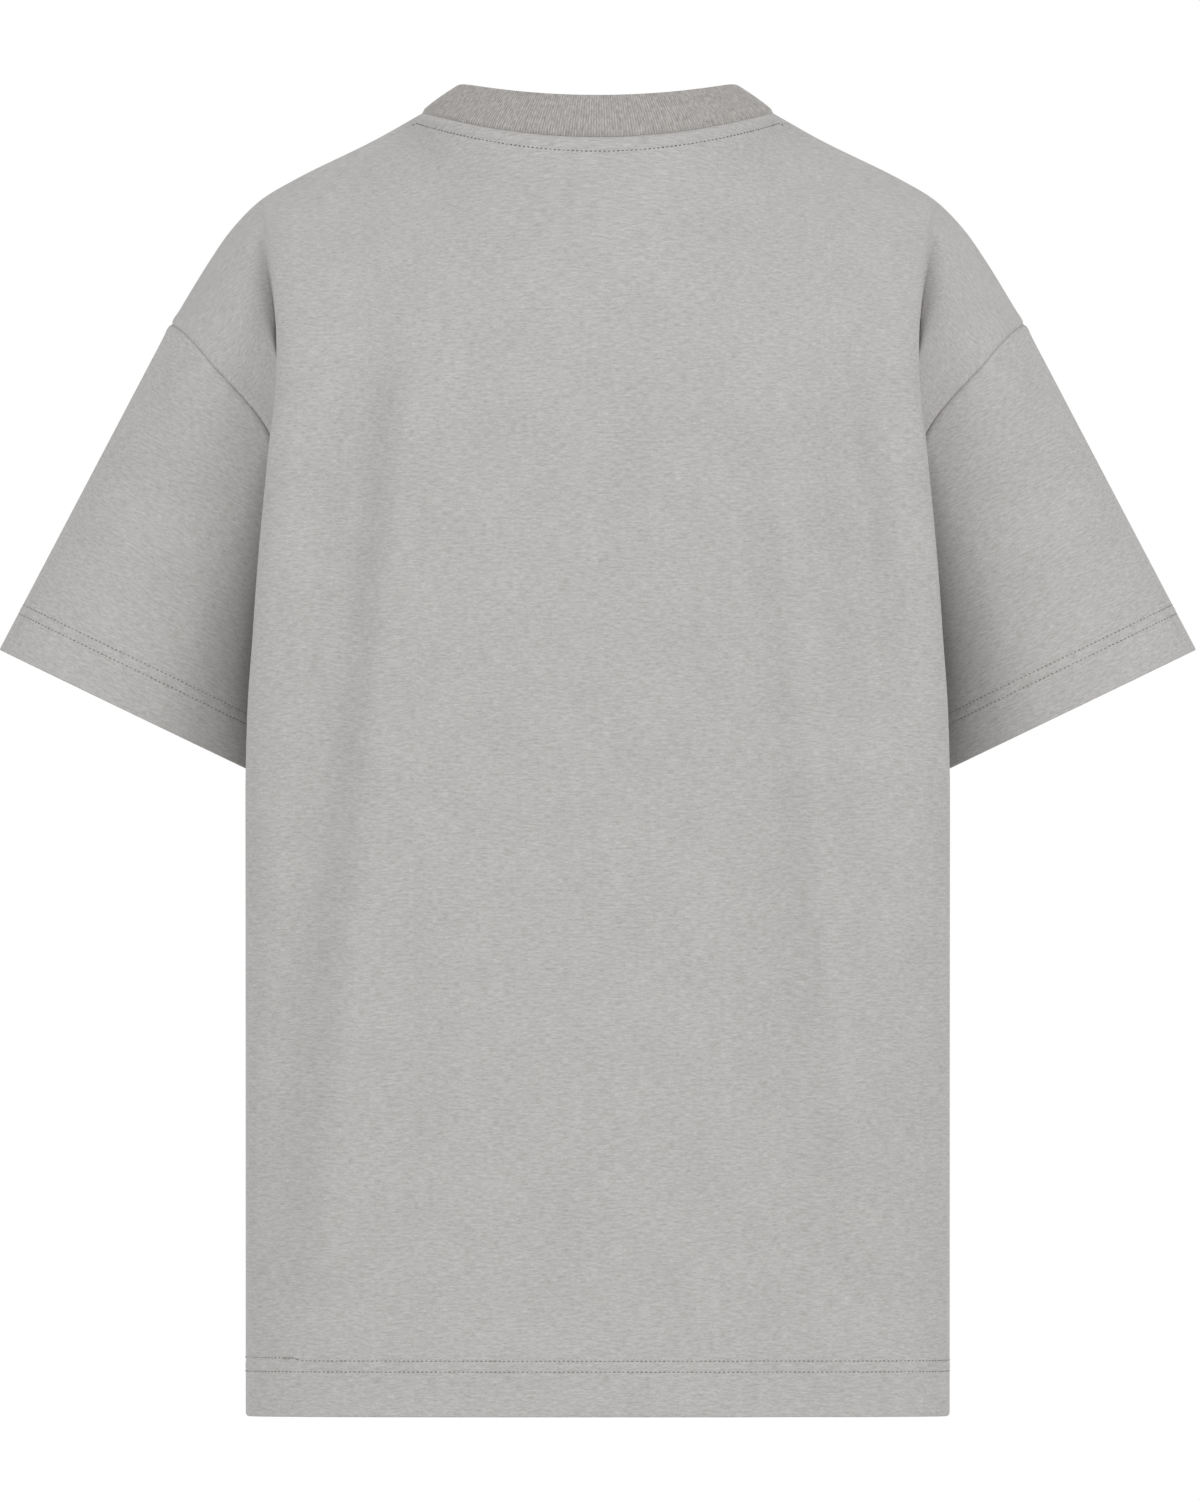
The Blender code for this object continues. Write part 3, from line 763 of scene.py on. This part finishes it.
print("declaring the pieces")
for piece, node, slotName in (
    (backPanel, "back_panel", "jersey"), (frontPanel, "front_panel", "jersey"),
    (sleeveRight, "sleeve_right", "jersey"), (sleeveLeft, "sleeve_left", "jersey"),
    (neckBand, "neck_band", "rib"),
):
    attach(piece, "root")
    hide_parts(node)
for piece in (bodyHemStitches, sleeveStitchesRight, sleeveStitchesLeft, neckStitches):
    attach(piece, "root")
for piece in (backPanel, frontPanel, sleeveRight, sleeveLeft, neckBand):
    area = sum(face.area for face in piece.data.polygons)
    triangles = sum(len(face.vertices) - 2 for face in piece.data.polygons)
    print(piece.name, "area", round(area / 2, 4), "triangles", triangles)

print("stage")
stage = {
    "floorDepth": 1.45, "floorSize": 7.0, "ambient": 0.815,
    # name, place, size and power of each soft box
    "softBoxes": (("keyRight", (3.4, -3.6, 1.8), 2.2, 86), ("fillLeft", (-3.2, -3.8, 1.4), 2.2, 62)),
    "distance": 28.536, "lens": 1200, "sensor": 36, "aim": (0.0013, 0, -0.3637),
}
scene = bpy.context.scene
scene.view_settings.view_transform = "Standard"
bpy.ops.object.select_all(action="DESELECT")
bpy.ops.mesh.primitive_plane_add(size=stage["floorSize"], location=(0, 0, -stage["floorDepth"]))
floor = bpy.context.active_object
floor.name = "floor"
paint, paintTree, paintShader = newMaterial("matPaleFloor")
paintShader.inputs["Base Color"].default_value = linear("#EDEDEB")
paintShader.inputs["Roughness"].default_value = 0.9
floor.data.materials.append(paint)

# a white backdrop that shows at full brightness and lights the cloth only softly
world = bpy.data.worlds.new("studio")
world.use_nodes = True
worldTree = world.node_tree
backdrop = worldTree.nodes["Background"]
backdrop.inputs["Color"].default_value = (1, 1, 1, 1)
seen = addNode(worldTree, "ShaderNodeLightPath").outputs["Is Camera Ray"]
addNode(worldTree, "ShaderNodeMapRange", {"To Min": stage["ambient"], "To Max": 1.0}, {"Value": seen})
worldTree.links.new(worldTree.nodes["Map Range"].outputs[0], backdrop.inputs["Strength"])
scene.world = world

aim = Vector(stage["aim"])
for name, place, size, power in stage["softBoxes"]:
    lamp = bpy.data.lights.new(name, "AREA")
    lamp.size = size
    lamp.energy = power
    holder = bpy.data.objects.new(name, lamp)
    holder.location = place
    holder.rotation_euler = (aim - holder.location).to_track_quat("-Z", "Y").to_euler()
    scene.collection.objects.link(holder)

lens = bpy.data.cameras.new("camera")
lens.lens = stage["lens"]
lens.sensor_height = stage["sensor"]
lens.sensor_fit = "VERTICAL"
lens.clip_end = 100
camera = bpy.data.objects.new("camera", lens)
camera.location = aim + Vector((0, -stage["distance"], 0))
camera.rotation_euler = (pi / 2, 0, 0)
scene.collection.objects.link(camera)
scene.camera = camera
